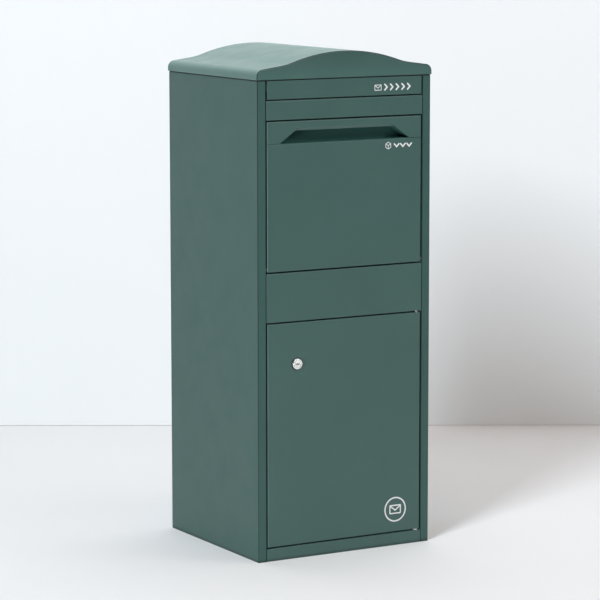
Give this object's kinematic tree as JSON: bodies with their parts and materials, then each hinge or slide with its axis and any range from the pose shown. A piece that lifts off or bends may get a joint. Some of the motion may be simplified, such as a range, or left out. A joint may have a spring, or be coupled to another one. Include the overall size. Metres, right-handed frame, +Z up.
{
  "type": "letter and parcel drop box",
  "caption": "Free-standing sheet-steel mailbox: push-in letter flap, tilt-out parcel hopper, hinged collection door with cam lock, arched roof.",
  "frame": {"origin": "on the ground, at the centre of the body's footprint", "axes": "+Z up along the longest side; -Y is the front with the flap and doors, +Y the wall side; +X is to the right seen from the front"},
  "size_m": [0.421, 0.3969, 1.0578],
  "materials": {
    "powder_coat_front": "semi-matt dark sage-green powder coat, fine orange peel",
    "powder_coat_body": "semi-matt dark sage-green powder coat, fine orange peel",
    "powder_coat_inside": "same powder coat, less exposed",
    "black_oxide_steel": "black-oxide steel rod",
    "galvanised_steel": "bright zinc-plated steel",
    "lock_chrome": "polished nickel-chrome",
    "rubber_black": "black foam rubber",
    "nylon_light": "pale nylon",
    "ink_white": "white screen-printed ink"
  },
  "bodies": {
    "cabinet": {"side_panel_left": "powder_coat_body", "side_panel_right": "powder_coat_body", "back_panel": "powder_coat_body", "back_rivets": "galvanised_steel", "base_pan": "powder_coat_inside", "bottom_rail": "powder_coat_front", "middle_panel": "powder_coat_front", "upper_rail": "powder_coat_front", "top_pan": "powder_coat_inside", "roof_cover": "powder_coat_body", "roof_gasket": "rubber_black", "roof_screws": "galvanised_steel", "roof_nuts": "galvanised_steel", "letter_chute": "powder_coat_inside", "letter_flap_rod": "black_oxide_steel", "flap_rod_clips": "galvanised_steel", "flap_stop_lugs": "powder_coat_inside", "hopper_pivot_bushes": "nylon_light", "hopper_bumpers": "rubber_black", "door_hinge_bushes": "nylon_light", "door_stop_strip": "powder_coat_inside", "door_seal": "rubber_black", "lock_keeper": "galvanised_steel"},
    "letter_flap": {"letter_flap": "powder_coat_front", "letter_flap_spring": "galvanised_steel", "letter_pictogram": "ink_white"},
    "parcel_hopper": {"parcel_door_header": "powder_coat_front", "parcel_door_skin": "powder_coat_front", "handle_pocket": "powder_coat_inside", "hopper_cheek_left": "powder_coat_inside", "hopper_cheek_right": "powder_coat_inside", "cheek_rivets": "galvanised_steel", "hopper_tray": "powder_coat_inside", "hopper_pivot_pins": "galvanised_steel", "hopper_stop_tabs": "powder_coat_inside", "parcel_pictogram": "ink_white"},
    "collection_door": {"collection_door": "powder_coat_front", "door_stiffener": "powder_coat_inside", "door_hinge_pins": "galvanised_steel", "door_hinge_collars": "galvanised_steel", "lock_seal_ring": "rubber_black", "lock_housing": "lock_chrome", "lock_nut": "galvanised_steel", "door_mark": "ink_white"},
    "lock_plug": {"lock_plug": "lock_chrome", "lock_cam": "galvanised_steel", "cam_screw": "galvanised_steel"}
  },
  "joints": [
    {"name": "letter_flap_hinge", "type": "hinge", "parent": "cabinet", "child": "letter_flap", "pos_m": [0, -0.191, 0.9955], "axis": [1, 0, 0], "range_deg": [0, 70], "stiffness_Nm_per_rad": 0.02, "deforming": ["letter_flap_spring"]},
    {"name": "parcel_hopper_tilt", "type": "hinge", "parent": "cabinet", "child": "parcel_hopper", "pos_m": [0, -0.1885, 0.613], "axis": [1, 0, 0], "range_deg": [0, 45]},
    {"name": "collection_door_hinge", "type": "hinge", "parent": "cabinet", "child": "collection_door", "pos_m": [0.1793, -0.1895, 0.26435], "axis": [0, 0, 1], "range_deg": [0, 105]},
    {"name": "lock_turn", "type": "hinge", "parent": "collection_door", "child": "lock_plug", "pos_m": [-0.1164, -0.1955, 0.4123], "axis": [0, -1, 0], "range_deg": [0, 90]}
  ]
}
